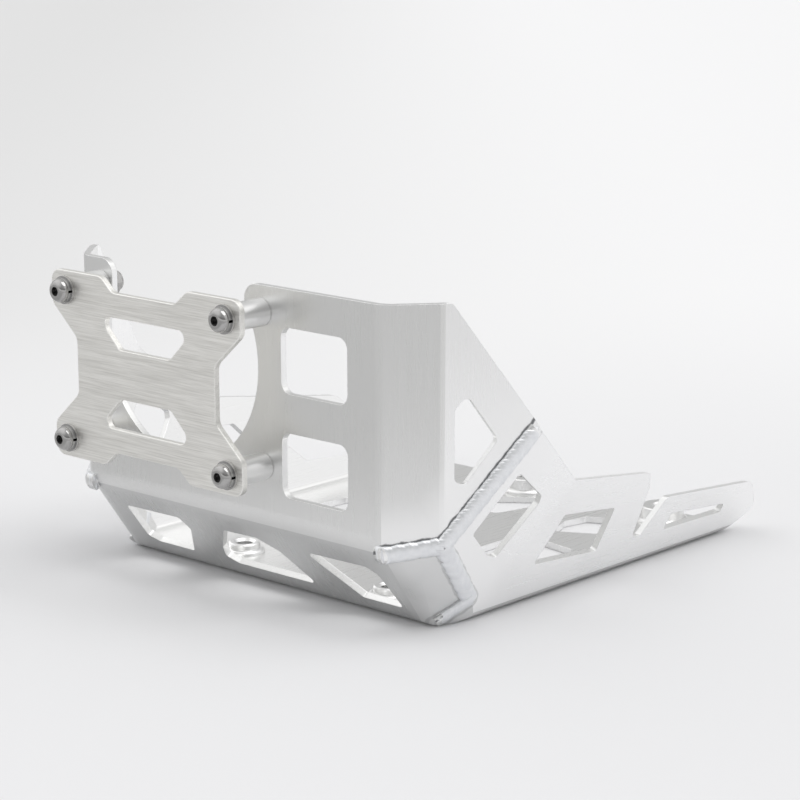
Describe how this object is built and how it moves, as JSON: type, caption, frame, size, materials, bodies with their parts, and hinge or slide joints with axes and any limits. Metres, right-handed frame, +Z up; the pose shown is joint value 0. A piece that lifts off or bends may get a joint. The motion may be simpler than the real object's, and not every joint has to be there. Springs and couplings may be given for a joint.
{
  "type": "motorcycle skid plate",
  "caption": "Folded and welded aluminium skid plate with cut-outs and an X-shaped filter guard bolted on spacers.",
  "frame": {"origin": "on the body's centre line, under the front panel's outer face, at floor level", "axes": "+X to the right seen from the front, +Y from the front panel towards the rear edge, +Z up"},
  "size_m": [0.3326, 0.3614, 0.187],
  "materials": {
    "satin_sheet": "satin, fine grain",
    "brushed_plate": "brushed lengthwise",
    "turned_aluminium": "turned, satin",
    "stainless": "polished",
    "spring_steel": "satin"
  },
  "bodies": {
    "root": {"skid_plate": "satin_sheet", "guard_plate": "brushed_plate", "standoff_upper_left": "turned_aluminium", "standoff_upper_right": "turned_aluminium", "standoff_lower_left": "turned_aluminium", "standoff_lower_right": "turned_aluminium", "boss_front_left": "turned_aluminium", "boss_front_right": "turned_aluminium", "boss_rear_centre": "turned_aluminium", "boss_rear_right": "turned_aluminium", "guard_screws": "stainless", "lock_washers": "spring_steel", "flat_washers": "stainless", "guard_nuts": "stainless"}
  },
  "joints": []
}
